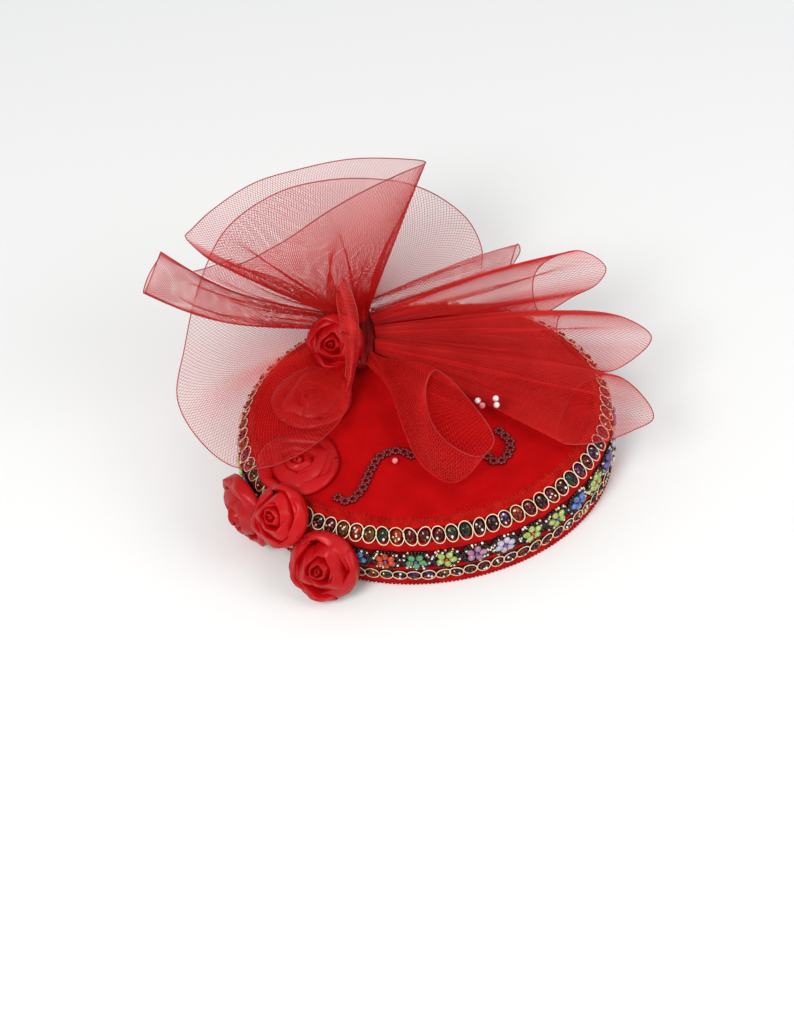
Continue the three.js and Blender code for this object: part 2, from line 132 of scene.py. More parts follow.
def tubes(paths, outward, radius, sides, closed=False):
    """Tubes along many paths at once: paths and outward are arrays of (path, step, 3)."""
    count, steps = paths.shape[:2]
    if closed:
        ahead = np.roll(paths, -1, 1) - np.roll(paths, 1, 1)
    else:
        ahead = np.gradient(paths, axis=1)
    ahead = unit(ahead)
    beside = unit(np.cross(ahead, outward))
    up = np.cross(beside, ahead)
    turn = 2 * math.pi * np.arange(sides) / sides
    radius = np.broadcast_to(np.asarray(radius, float), (count, steps))[..., None, None]
    ring = np.cos(turn)[:, None] * up[:, :, None] + np.sin(turn)[:, None] * beside[:, :, None]
    points = paths[:, :, None] + radius * ring
    one = grid_faces(steps, sides, True)
    if closed:
        last = np.arange(sides) + (steps - 1) * sides
        first = np.arange(sides)
        one = np.vstack([one, np.stack([last, np.roll(last, -1), np.roll(first, -1), first], -1)])
    faces = one[None] + (np.arange(count) * steps * sides)[:, None, None]
    return points.reshape(-1, 3), faces.reshape(-1, 4)


def spline(rows, closed, count):
    """A smooth curve through rows of numbers, the first three of them a place, at even steps."""
    rows = np.asarray(rows, float)
    if closed:
        around = np.vstack([rows[-1:], rows, rows[:2]])
    else:
        around = np.vstack([2 * rows[0] - rows[1], rows, 2 * rows[-1] - rows[-2]])
    chords = np.sqrt(np.linalg.norm(np.diff(around[:, :3], axis=0), axis=1))
    knots = np.concatenate([[0], np.cumsum(chords)])
    fine = []
    for i in range(1, len(around) - 2):
        p0, p1, p2, p3 = around[i - 1 : i + 3]
        t0, t1, t2, t3 = knots[i - 1 : i + 3]
        span = t2 - t1
        m1 = span * ((p1 - p0) / (t1 - t0) - (p2 - p0) / (t2 - t0) + (p2 - p1) / span)
        m2 = span * ((p2 - p1) / span - (p3 - p1) / (t3 - t1) + (p3 - p2) / (t3 - t2))
        s = np.linspace(0, 1, SPAN_STEPS, endpoint=False)[:, None]
        fine.append(
            (2 * s**3 - 3 * s**2 + 1) * p1
            + (s**3 - 2 * s**2 + s) * m1
            + (3 * s**2 - 2 * s**3) * p2
            + (s**3 - s**2) * m2
        )
    fine.append(around[len(around) - 2][None])
    fine = np.vstack(fine)
    along = np.concatenate([[0], np.cumsum(np.linalg.norm(np.diff(fine[:, :3], axis=0), axis=1))])
    at = np.linspace(0, along[-1], count + 1 if closed else count)
    if closed:
        at = at[:-1]
    return np.stack([np.interp(at, along, fine[:, k]) for k in range(fine.shape[1])], -1), along[-1]


# Materials

RAMP_ENDS = (0.3, 0.7)
PATCH_SIZE = 12  # of an uneven colour, over that of the nap
BEAD_NOISE = 420
BEAD_TINTS = (0.6, 1.25)


def shader(name, color, roughness, **sockets):
    """A Principled material and the nodes and links to add to it."""
    material = bpy.data.materials.new(name)
    material.use_nodes = True
    nodes, links = material.node_tree.nodes, material.node_tree.links
    principled = nodes["Principled BSDF"]
    principled.inputs["Base Color"].default_value = (*color, 1)
    principled.inputs["Roughness"].default_value = roughness
    for socket, value in sockets.items():
        principled.inputs[socket.replace("_", " ")].default_value = value
    return material, nodes, links, principled


def noise_of(nodes, links, scale, detail=3.0):
    coordinates = nodes.new("ShaderNodeTexCoord")
    noise = nodes.new("ShaderNodeTexNoise")
    noise.inputs["Scale"].default_value = scale
    noise.inputs["Detail"].default_value = detail
    links.new(coordinates.outputs["Object"], noise.inputs["Vector"])
    return noise


def ramp_between(nodes, links, factor, dark, light):
    ramp = nodes.new("ShaderNodeValToRGB")
    for element, place, color in zip(ramp.color_ramp.elements, RAMP_ENDS, (dark, light)):
        element.position = place
        element.color = (*color, 1)
    links.new(factor, ramp.inputs["Fac"])
    return ramp.outputs["Color"]


def bumped(nodes, links, principled, height, distance):
    bump = nodes.new("ShaderNodeBump")
    bump.inputs["Distance"].default_value = distance
    links.new(height, bump.inputs["Height"])
    links.new(bump.outputs["Normal"], principled.inputs["Normal"])


def cloth_material(name, dark, light, roughness, scale, bump, **sockets):
    """Cloth with an uneven colour and a fine nap."""
    material, nodes, links, principled = shader(name, light, roughness, **sockets)
    patches = noise_of(nodes, links, scale / PATCH_SIZE)
    color = ramp_between(nodes, links, patches.outputs["Fac"], dark, light)
    links.new(color, principled.inputs["Base Color"])
    nap = noise_of(nodes, links, scale, 4)
    bumped(nodes, links, principled, nap.outputs["Fac"], bump)
    return material


def bead_material(name, color, roughness=0.15, **sockets):
    """Glass with a slight change of tint from bead to bead."""
    material, nodes, links, principled = shader(name, color, roughness, **sockets)
    tint = noise_of(nodes, links, BEAD_NOISE, 1)
    dark, light = (tuple(min(1, share * c) for c in color) for share in BEAD_TINTS)
    uneven = ramp_between(nodes, links, tint.outputs["Fac"], dark, light)
    links.new(uneven, principled.inputs["Base Color"])
    return material


# name, dark, light, roughness, noise scale, bump
FELT = cloth_material(
    "felt", (0.38, 0.001, 0.002), (0.47, 0.002, 0.003), 0.9, 900, 0.2 * MM, Specular_IOR_Level=0.06
)
PILE = cloth_material(
    "pile_ribbon", (0.32, 0.001, 0.002), (0.52, 0.004, 0.004), 0.9, 1500, 0.4 * MM, Specular_IOR_Level=0.08
)
FRINGE = cloth_material(
    "pile_hairs", (0.5, 0.008, 0.005), (0.75, 0.03, 0.015), 0.8, 1500, 0.1 * MM, Specular_IOR_Level=0.1
)
# Painted shade: a near-black copy of the pile ribbon, used where the bead rows shade it
PILE_PAINTED_SHADE = cloth_material(
    "pile_shadowed", (0.05, 0.001, 0.002), (0.13, 0.002, 0.003), 0.9, 1500, 0.3 * MM, Specular_IOR_Level=0.08
)
SATIN = cloth_material(
    "satin",
    (0.37, 0.001, 0.003),
    (0.5, 0.002, 0.004),
    0.4,
    160,
    0.15 * MM,
    Specular_IOR_Level=0.55,
    Specular_Tint=(1, 0.4, 0.4, 1),
)
STRAND = cloth_material(
    "braid_strand",
    (0.8, 0.006, 0.005),
    (0.95, 0.02, 0.016),
    0.45,
    600,
    0.02 * MM,
    Specular_IOR_Level=0.2,
    Transmission_Weight=0.35,
)
SELVEDGE = cloth_material("braid_selvedge", (0.3, 0.006, 0.006), (0.5, 0.02, 0.018), 0.4, 600, 0.05 * MM)
# Painted shade: the knot's gathers coloured dark for the shade among their dense folds
SHADED_GATHERS = cloth_material(
    "braid_gathers_painted_shade", (0.14, 0.001, 0.001), (0.3, 0.002, 0.002), 0.6, 700, 0.3 * MM, Specular_IOR_Level=0.2
)
FILM = cloth_material(
    "braid_film", (0.6, 0.004, 0.004), (0.7, 0.006, 0.006), 0.6, 300, 0.02 * MM, Alpha=0.015
)
FOLDED = cloth_material(
    "braid_folded", (0.5, 0.004, 0.004), (0.7, 0.01, 0.008), 0.6, 900, 0.2 * MM, Alpha=0.5
)
THREAD = cloth_material("ring_thread", (0.72, 0.55, 0.3), (0.95, 0.86, 0.62), 0.4, 2500, 0.06 * MM)

BLACK_BEAD = bead_material("bead_black", (0.008, 0.005, 0.006))
GOLD_BEAD = bead_material("bead_gold", (0.85, 0.62, 0.3), 0.2, Metallic=0.8)
WHITE_BEAD = bead_material("bead_white", (0.85, 0.82, 0.78))
DARK_RED_BEAD = bead_material("bead_dark_red", (0.15, 0.002, 0.003), 0.35)
CLEAR_BEAD = bead_material("crystal_clear", (0.95, 0.85, 0.87), 0.05)
PINK_BEAD = bead_material("crystal_pink", (0.9, 0.22, 0.26), 0.05)
SEQUIN_COLORS = {
    "wine": (0.1, 0.002, 0.006),
    "black": (0.02, 0.004, 0.01),
    "orange": (0.32, 0.03, 0.004),
    "purple": (0.06, 0.008, 0.08),
    "bronze": (0.16, 0.06, 0.008),
    "green": (0.01, 0.04, 0.02),
}
PETAL_COLORS = {
    "blue": (0.1, 0.19, 0.45),
    "orange": (0.5, 0.045, 0.008),
    "green": (0.09, 0.26, 0.11),
    "lime": (0.4, 0.48, 0.13),
    "lilac": (0.4, 0.18, 0.28),
    "pale": (0.5, 0.42, 0.52),
    "purple": (0.12, 0.07, 0.3),
}
RING_FILLS = [bead_material("sequin_" + name, color, Metallic=0.4) for name, color in SEQUIN_COLORS.items()]
PETALS = {name: bead_material("petal_" + name, color) for name, color in PETAL_COLORS.items()}


# The crown's outside, as a distance round it, a distance up its profile and one outwards

WALL_HEIGHT = CROWN_HEIGHT - SHOULDER_DROP
SHOULDER_LENGTH = math.hypot(SHOULDER_INSET, SHOULDER_DROP)
PROFILE_LENGTH = WALL_HEIGHT + SHOULDER_LENGTH
SHOULDER_SLOPE = math.atan2(SHOULDER_INSET, SHOULDER_DROP)
CORNER_SOFTNESS = 2.5 * MM

fine_turns = np.linspace(0, 2 * math.pi, 2881)
fine_oval = np.stack([HALF_LENGTH * np.cos(fine_turns), HALF_WIDTH * np.sin(fine_turns)], -1)
fine_along = np.concatenate([[0], np.cumsum(np.linalg.norm(np.diff(fine_oval, axis=0), axis=1))])
PERIMETER = fine_along[-1]


def on_band(around, up, out):
    """Places on the crown's outside. around and up are metres along the cloth, out is off it."""
    around, up, out = np.broadcast_arrays(around, up, out)
    turn = np.interp(around % PERIMETER, fine_along, fine_turns)
    up_wall = np.minimum(up, WALL_HEIGHT)
    up_shoulder = np.clip(up - WALL_HEIGHT, 0, SHOULDER_LENGTH) / SHOULDER_LENGTH
    past_edge = np.maximum(up - PROFILE_LENGTH, 0)
    inset = SHOULDER_INSET * up_shoulder + past_edge
    height = up_wall + SHOULDER_DROP * up_shoulder
    wall_share = np.clip((up - WALL_HEIGHT) / CORNER_SOFTNESS * 0.5 + 0.5, 0, 1)
    tip_share = np.clip((up - PROFILE_LENGTH) / CORNER_SOFTNESS * 0.5 + 0.5, 0, 1)
    lean = SHOULDER_SLOPE * wall_share + (math.pi / 2 - SHOULDER_SLOPE) * tip_share
    grow = out * np.cos(lean) - inset
    x = (HALF_LENGTH + grow) * np.cos(turn)
    y = (HALF_WIDTH + grow) * np.sin(turn)
    return CROWN_CENTRE + np.stack([x, y, height + out * np.sin(lean)], -1)


def out_of_band(around, up):
    return unit(on_band(around, up, 1 * MM) - on_band(around, up, 0))


# The band: pile ribbon, rings and flowers

BACK_OUT = 1.4 * MM
HEM = 0.9 * MM
LOWER_RINGS_AT = 9.1 * MM
FLOWERS_AT = 21.4 * MM
UPPER_RINGS_AT = WALL_HEIGHT + 4.1 * MM
RIBBON_COLUMNS = 720
RIBBON_INSIDE = 0.35 * MM
HEM_WAVE = 0.25 * MM
COLUMNS_A_WAVE = 5
NAP = 0.12 * MM
HAIRS = 3400
HAIR_RADIUS = 0.15 * MM
PICOT_PITCH = 2.1 * MM
PICOT_OUT = BACK_OUT - 0.2 * MM
PICOT_SIZE = (0.75 * MM, 0.75 * MM, 0.8 * MM)
# (middle, half width) of the painted shade on the ribbon under each bead row
PAINTED_SHADE_BANDS = [(LOWER_RINGS_AT, 3.2 * MM), (FLOWERS_AT, 6.8 * MM), (UPPER_RINGS_AT, 3.9 * MM)]


def pile_ribbon():
    """The ribbon up the wall and over the shoulder, with painted shade where the bead rows lie on it."""
    on_wall = np.linspace(HEM, WALL_HEIGHT - 2 * MM, 30)
    on_shoulder = np.linspace(WALL_HEIGHT - 1.5 * MM, PROFILE_LENGTH + 0.5 * MM, 22)
    ups = np.concatenate([on_wall, on_shoulder])
    number = np.arange(RIBBON_COLUMNS)
    around = number / RIBBON_COLUMNS * PERIMETER
    wave = HEM_WAVE * np.sin(2 * math.pi * number / COLUMNS_A_WAVE)
    rows = []
    for up in ups:
        nap = NAP * RANDOM.standard_normal(RIBBON_COLUMNS)
        rows.append(on_band(around, up + wave * (up == ups[0]), BACK_OUT + nap))
    inner = [on_band(around, up, RIBBON_INSIDE) for up in (ups[-1], ups[0])]
    points = np.concatenate([*rows, *inner])
    faces = grid_faces(len(rows) + 2, RIBBON_COLUMNS, True)
    last = number + (len(rows) + 1) * RIBBON_COLUMNS
    faces = np.vstack([faces, np.stack([last, np.roll(last, -1), np.roll(number, -1), number], -1)])
    middles = (ups[:-1] + ups[1:]) / 2
    # Faces under the bead rows get the painted shade
    dark = sum(np.abs(middles - middle) < reach for middle, reach in PAINTED_SHADE_BANDS) > 0
    outer = np.repeat(dark.astype(int), RIBBON_COLUMNS)
    which = np.concatenate([outer, np.zeros(len(faces) - len(outer), int)])
    made = new_object("pile_ribbon", points, faces, [PILE, PILE_PAINTED_SHADE], which)
    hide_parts("trim_backing")


def fringe():
    """Short tapered hairs that start on the ribbon's upper edge and lean up the profile."""
    around = RANDOM.random(HAIRS) * PERIMETER
    up = PROFILE_LENGTH - 3.8 * MM + 3.4 * MM * RANDOM.random(HAIRS)
    lean = 0.35 * RANDOM.standard_normal(HAIRS)
    length = (1.4 + 1.3 * RANDOM.random(HAIRS)) * MM
    rise = 0.4 * MM + 0.9 * MM * RANDOM.random(HAIRS)
    steps = 3
    share = np.linspace(0, 1, steps)
    paths = on_band(
        around[:, None] + (lean * length)[:, None] * share,
        up[:, None] + length[:, None] * share,
        BACK_OUT + rise[:, None] * share,
    )
    outward = out_of_band(around, up)[:, None].repeat(steps, 1)
    radius = HAIR_RADIUS * (1 - 0.75 * share)
    points, faces = tubes(paths, outward, radius[None].repeat(HAIRS, 0), 3)
    made = new_object("pile_fringe", points, faces, [FRINGE])


def picots():
    """Small loops along the ribbon's lower edge."""
    count = round(PERIMETER / PICOT_PITCH)
    at = np.arange(count) * PERIMETER / count
    edge = new_object("picot_edge", *beads(at, np.full(count, HEM), PICOT_OUT, PICOT_SIZE), [PILE])


def ball(rings=4, sides=8):
    """A unit ball: its points, and its faces as quads."""
    tilt = np.linspace(0, math.pi, rings + 1)[:, None]
    turn = 2 * math.pi * np.arange(sides) / sides
    points = np.stack([np.sin(tilt) * np.cos(turn), np.sin(tilt) * np.sin(turn), np.cos(tilt) + 0 * turn], -1)
    return points.reshape(-1, 3), grid_faces(rings + 1, sides, True)


def beads(around, up, out, size, turn=0.0):
    """Balls on the band. size is (round, up, out) half sizes, one row for each bead or one for all."""
    shape, faces = ball()
    count = len(around)
    size = np.broadcast_to(np.asarray(size, float), (count, 3))
    turn = np.broadcast_to(np.asarray(turn, float), (count,))
    local = shape[None] * size[:, None]
    x = local[..., 0] * np.cos(turn)[:, None] - local[..., 1] * np.sin(turn)[:, None]
    y = local[..., 0] * np.sin(turn)[:, None] + local[..., 1] * np.cos(turn)[:, None]
    off = np.broadcast_to(out, (count,))[:, None] + local[..., 2]
    points = on_band(around[:, None] + x, up[:, None] + y, off)
    all_faces = faces[None] + (np.arange(count) * len(shape))[:, None, None]
    return points.reshape(-1, 3), all_faces.reshape(-1, 4)


RING_START = 0.3  # of a pitch
RING_STEPS = 28
RING_LEAN = 0.12
UNEVEN_PLACE = 0.15 * MM
UNEVEN_SIZE = 0.05
THREAD_RADIUS = 0.25 * MM
THREAD_OUT = BACK_OUT + 0.9 * MM
CUP_SHARE = 0.84
CUP_HEIGHT = 0.9 * MM
CUP_OUT = BACK_OUT + 0.3 * MM
SEEDS = 6
SEED_SIZE = (0.68 * MM, 0.68 * MM, 0.68 * MM)
SEED_OUT = BACK_OUT + 1.45 * MM
SEED_REACH = 0.5


def ring_row(name, node, middle, half_height, pitch):
    """A row of thread rings, each round a cupped sequin and a few seed beads."""
    count = round(PERIMETER / pitch)
    centre = (np.arange(count) + RING_START) * PERIMETER / count
    centre += UNEVEN_PLACE * RANDOM.standard_normal(count)
    half = 0.5 * PERIMETER / count
    turn = np.linspace(0, 2 * math.pi, RING_STEPS, endpoint=False)
    tilt = RING_LEAN * RANDOM.standard_normal(count)[:, None]
    x = half * np.cos(turn) * (1 + UNEVEN_SIZE * RANDOM.standard_normal(count)[:, None])
    y = half_height * np.sin(turn) * (1 + UNEVEN_SIZE * RANDOM.standard_normal(count)[:, None])
    around = centre[:, None] + x + tilt * y
    up = middle + y
    paths = on_band(around, up, THREAD_OUT)
    outward = out_of_band(around, up)
    thread = new_object(name + "_thread", *tubes(paths, outward, THREAD_RADIUS, 6, True), [THREAD])
    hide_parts(node)
    kinds = RANDOM.integers(0, len(RING_FILLS), count)
    cup_size = (half * CUP_SHARE, half_height * CUP_SHARE, CUP_HEIGHT)
    cups = beads(centre, np.full(count, middle), CUP_OUT, cup_size)
    parts, which = [cups], [np.repeat(kinds, len(cups[1]) // count)]
    for k in range(SEEDS):
        angle = 2 * math.pi * (k + RANDOM.random(count)) / SEEDS
        reach = SEED_REACH if k else 0.0
        seed_around = centre + reach * half * np.cos(angle)
        seed_up = middle + reach * half_height * np.sin(angle)
        spot = beads(seed_around, seed_up, SEED_OUT, SEED_SIZE)
        parts.append(spot)
        # The seed beads are real beads in sequin colours and gold; the white ones among them are painted
        # glints of the iridescent beads
        kind = RANDOM.integers(0, len(RING_FILLS) + 2, count)
        which.append(np.repeat(kind, len(spot[1]) // count))
    fills = RING_FILLS + [GOLD_BEAD, WHITE_BEAD]
    fill = new_object(name + "_beads", *joined(parts), fills, np.concatenate(which))


FLOWER_ORDER = "blue orange green lime lilac pale lime lime blue lime purple pale".split()
FLOWER_START = 0.95  # of a pitch
PETAL_REACH = 3.5 * MM
PETAL_SIZE = (2.3 * MM, 1.9 * MM, 1.4 * MM)
PETAL_OUT = BACK_OUT + 1.5 * MM
HEART_SIZE = (1 * MM, 1 * MM, 0.9 * MM)
HEART_OUT = BACK_OUT + 1.9 * MM
# The cell round a flower, in shares of a pitch and of the row's half height
CELL_CORNERS = [(-0.5, 0.0), (-0.3, 1.0), (0.3, 1.0), (0.5, 0.0), (0.3, -1.0), (-0.3, -1.0), (-0.5, 0.0)]
INNER_CELL = (0.84, 0.76)
CELL_BEAD_PITCH = 1.75 * MM
CELL_BEAD_SIZE = (0.75 * MM, 0.75 * MM, 0.75 * MM)
CELL_BEAD_OUT = BACK_OUT + 0.8 * MM
CELL_BEAD_JITTER = 0.12 * MM
# Shares of black, gold and white beads in the cells; the gold and white beads are painted glints on the black
# beads
CELL_BEAD_AND_GLINT_SHARES = [0.74, 0.13, 0.13]


def flower_row(middle, half_height, pitch):
    """Bead flowers, each in a six-sided cell of seed beads."""
    count = round(PERIMETER / pitch)
    step = PERIMETER / count
    centre = (np.arange(count) + FLOWER_START) * step
    names = list(PETALS)
    parts, which = [], []
    for i in range(count):
        number = 6 if i % 4 == 1 else 5
        angle = 2 * math.pi * (np.arange(number) + RANDOM.random()) / number
        around = centre[i] + PETAL_REACH * np.cos(angle)
        petal = beads(around, middle + PETAL_REACH * np.sin(angle), PETAL_OUT, PETAL_SIZE, angle)
        parts.append(petal)
        which.append(np.full(len(petal[1]), names.index(FLOWER_ORDER[i % len(FLOWER_ORDER)])))
    heart = beads(centre, np.full(count, middle), HEART_OUT, HEART_SIZE)
    parts.append(heart)
    heart_kind = np.where(np.arange(count) % 3 == 0, names.index("orange"), names.index("purple"))
    which.append(np.repeat(heart_kind, len(heart[1]) // count))
    flowers = new_object("flowers", *joined(parts), list(PETALS.values()), np.concatenate(which))
    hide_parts("trim_flower_row")
    spots = []
    for (x0, y0), (x1, y1) in zip(CELL_CORNERS, CELL_CORNERS[1:]):
        length = math.hypot((x1 - x0) * step, (y1 - y0) * half_height)
        number = max(2, round(length / CELL_BEAD_PITCH))
        share = (np.arange(number) + 0.5)[:, None] / number
        spots.append(np.array([x0, y0]) * (1 - share) + np.array([x1, y1]) * share)
    spots = np.vstack(spots)
    spots = np.vstack([spots, spots * INNER_CELL])
    around = (centre[:, None] + spots[:, 0] * step).ravel()
    up = (middle + spots[:, 1] * half_height + 0 * centre[:, None]).ravel()
    jitter = CELL_BEAD_JITTER * RANDOM.standard_normal(len(around))
    cells = beads(around + jitter, up + jitter, CELL_BEAD_OUT, CELL_BEAD_SIZE)
    # The gold and white cell beads are painted glints
    kind = RANDOM.choice(3, len(around), p=CELL_BEAD_AND_GLINT_SHARES)
    kinds = np.repeat(kind, len(cells[1]) // len(around))
    made = new_object("flower_cells", *cells, [BLACK_BEAD, GOLD_BEAD, WHITE_BEAD], kinds)


RING_PITCH, FLOWER_PITCH = 7.3 * MM, 15.5 * MM
LOWER_RING_HALF, FLOWER_HALF, UPPER_RING_HALF = 3.5 * MM, 6.6 * MM, 4.4 * MM


def band():
    pile_ribbon()
    fringe()
    picots()
    ring_row("lower_rings", "trim_lower_rings", LOWER_RINGS_AT, LOWER_RING_HALF, RING_PITCH)
    flower_row(FLOWERS_AT, FLOWER_HALF, FLOWER_PITCH)
    ring_row("upper_rings", "trim_upper_rings", UPPER_RINGS_AT, UPPER_RING_HALF, RING_PITCH)


# Horsehair braid

LEAST_STRAND = 2 * MM
NORMAL_STEP = 0.004
FOLD_OPENING = 0.75  # of a fold's reach, over which it opens
FILM_ALONG, FILM_OUT = 2.5 * MM, 4 * MM
CORD_STEP = 2 * MM
CREASE_START = 0.06
CREASE_STEPS = 40


def in_bow(rows):
    """Places from shares of the bow's size, along and across from the knot and up from the tip."""
    rows = np.asarray(rows, float)
    from_tip = rows[:, :3] * BOW_SIZE
    return np.hstack([np.array([KNOT[0], KNOT[1], TIP_TOP]) + from_tip, rows[:, 3:]])


def on_knot(turn, level, gap):
    """Places on the knot, at degrees round it and a share of its height, and the way out of it."""
    turn = np.radians(turn)
    across = np.sqrt(1 - np.square(level))
    ball_place = np.stack([across * np.cos(turn), across * np.sin(turn), level + 0 * turn], -1)
    out = unit(ball_place / KNOT_HALF)
    return KNOT + ball_place * KNOT_HALF + out * gap, out


class Sheet:
    """Braid gathered at the knot and opening to its free edge.

    The flat cloth is measured in metres round its edge and in metres out from the gather. Folds
    are (place round the edge as a share, width, share of the way out where they end), and three
    layers lie over each other there. push moves the cloth's middle, by each rim place's swell."""

    def __init__(self, gather, rim, swell, length, push, skew, pleats, depth, folds, closed, creased=False):
        self.gather, self.rim, self.swell = gather, rim, swell
        self.push, self.skew, self.closed = push, skew, closed
        self.creased = creased
        self.pleats, self.depth = pleats, depth
        self.width = float(np.linalg.norm(rim - gather, axis=1).mean())
        self.extra = 2 * sum(width for _, width, _ in folds)
        self.length = length + self.extra
        self.folds, used = [], 0.0
        for place, width, reach in sorted(folds):
            self.folds.append((place * length + used, width, reach))
            used += 2 * width

    def column(self, values, a):
        """Values at shares a round the sheet."""
        count = len(values)
        at = (a % 1) * count if self.closed else np.clip(a, 0, 1) * (count - 1)
        low = np.floor(at).astype(int)
        low = low % count if self.closed else np.minimum(low, count - 2)
        high = (low + 1) % count
        part = at - np.floor(at) if self.closed else at - low
        if values.ndim > 1:
            part = part[..., None]
        return values[low] * (1 - part) + values[high] * part

    def smooth(self, a, b):
        lift = np.sin(math.pi * b**self.skew)[..., None]
        start, end = self.column(self.gather, a), self.column(self.rim, a)
        swell = self.column(self.swell, a)[..., None]
        return start + (end - start) * b[..., None] + self.push * lift * swell

    def normal(self, a, b):
        along = self.smooth(a + NORMAL_STEP, b) - self.smooth(a - NORMAL_STEP, b)
        nearer, further = np.maximum(b - NORMAL_STEP, 0), np.minimum(b + NORMAL_STEP, 1)
        outward = self.smooth(a, further) - self.smooth(a, nearer)
        return unit(np.cross(along, outward))

    def at(self, around, out, off=0.0):
        """Points of the flat cloth in their place, and the way out of the cloth there."""
        around, out = np.broadcast_arrays(around, out)
        b = out / self.width
        flat = around % self.length if self.closed else around
        a, layer = around / self.length, 0 * b
        for start, width, reach in self.folds:
            shut = np.clip((reach - b) / (FOLD_OPENING * reach), 0, 1)
            shut = shut * shut * (3 - 2 * shut)
            back = 2 * width * flat / self.length - 2 * np.clip(flat - start - width, 0, width)
            a = a + shut * back / (self.length - self.extra)
            step = (flat - start) / width
            layer = layer + shut * LAYER_GAP * np.clip(np.minimum(step, 3 * (4 - step)), 0, 3)
        normal = self.normal(a, b)
        fold = self.depth * np.sin(math.pi * b**0.8) * (1 - 0.5 * b)
        ripple = np.sin(2 * math.pi * self.pleats * a + 0.8 * np.sin(2 * math.pi * 3 * a))
        return self.smooth(a, b) + normal * (fold * ripple + layer + off)[..., None], normal


def strands(sheet, way, off):
    """The strands that run one way across the braid."""
    step = STRAND_PITCH * math.sqrt(2)
    if sheet.closed:
        count = round(sheet.length / step)
        start = np.arange(count) * sheet.length / count
        low, high = np.zeros(count), np.full(count, sheet.width)
    else:
        reach = math.ceil(sheet.width / step)
        start = np.arange(-reach, math.ceil(sheet.length / step) + reach) * step
        edges = np.sort(np.stack([-start * way, (sheet.length - start) * way]), axis=0)
        low, high = np.maximum(edges[0], 0), np.minimum(edges[1], sheet.width)
        keep = high - low > LEAST_STRAND
        start, low, high = start[keep], low[keep], high[keep]
    steps = max(8, round(sheet.width * math.sqrt(2) / STRAND_STEP))
    out = low[:, None] + (high - low)[:, None] * np.linspace(0, 1, steps)
    around = start[:, None] + way * out
    points, normal = sheet.at(around, out, off)
    return tubes(points, normal, STRAND_RADIUS, 3)


def edge_cord(sheet, b):
    """The bound edge of the cloth, at a share b of the way out."""
    count = max(24, round(sheet.length / CORD_STEP))
    around = np.linspace(0, sheet.length, count, endpoint=not sheet.closed)
    points, normal = sheet.at(around, b * sheet.width)
    return tubes(points[None], normal[None], SELVEDGE_RADIUS, 5, sheet.closed)


def crease_cords(sheet):
    """The doubled edge of each fold, where two strands' thickness catches the light."""
    parts = []
    share = np.linspace(0, 1, CREASE_STEPS)
    radius = CREASE_RADIUS * np.sqrt(1.02 - share)[None]
    for start, width, reach in sheet.folds:
        out = (CREASE_START + (FOLD_OPENING * reach - CREASE_START) * share) * sheet.width
        points, normal = sheet.at(np.full(CREASE_STEPS, start + width), out, LAYER_GAP)
        parts.append(tubes(points[None], normal[None], radius, 4))
    return parts


def dress_sheet(name, sheet, node=None, material=FILM):
    """The thin film, net and bound edges of a sheet of braid."""
    columns = max(48, round(sheet.length / FILM_ALONG))
    rows = max(16, round(sheet.width / FILM_OUT))
    around, out = np.meshgrid(np.linspace(0, sheet.length, columns), np.linspace(0, sheet.width, rows))
    points, _ = sheet.at(around, out)
    film = new_object(name + "_film", points.reshape(-1, 3), grid_faces(rows, columns), [material])
    if node:
        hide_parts(node)
    parts = [strands(sheet, 1, STRAND_RADIUS), strands(sheet, -1, -STRAND_RADIUS)]
    if sheet.creased:
        parts += crease_cords(sheet)
    net = new_object(name + "_net", *joined(parts), [STRAND])
    cords = [edge_cord(sheet, 1.0)]
    if not node:
        cords.append(edge_cord(sheet, 0.0))
    edge = new_object(name + "_selvedge", *joined(cords), [SELVEDGE])


LOOP_STEPS = 160


def cornet(name, turn, level, neck, push, skew, pleats, depth, folds, rim, creased=False):
    """A loop of braid whose neck is a small ring at the knot. Fold widths and depth are in mm."""
    count = LOOP_STEPS
    rim_rows, length = spline(in_bow(rim), True, count)
    points, swell = rim_rows[:, :3], rim_rows[:, 3]
    seat, out = on_knot(float(turn), level, SEAT_GAP)
    side = np.cross([0, 0, 1], out)
    if np.linalg.norm(side) < 0.5:
        side = np.array([1.0, 0, 0])
    side = unit(side)
    up = np.cross(out, side)
    arm = points - points.mean(0)
    angles = np.unwrap(np.arctan2(arm @ up, arm @ side))
    way = np.sign(angles[-1] - angles[0])
    around = angles[0] + way * 2 * math.pi * np.arange(count) / count
    radius = 2 * KNOT_HALF[0] * neck
    gather = seat + radius * (np.cos(around)[:, None] * side + np.sin(around)[:, None] * up)
    folds = [(place, width * MM, reach) for place, width, reach in folds]
    push = np.array(push) * BOW_SIZE
    sheet = Sheet(gather, points, swell, length, push, skew, pleats, depth * MM, folds, True, creased)
    dress_sheet(name, sheet, name)


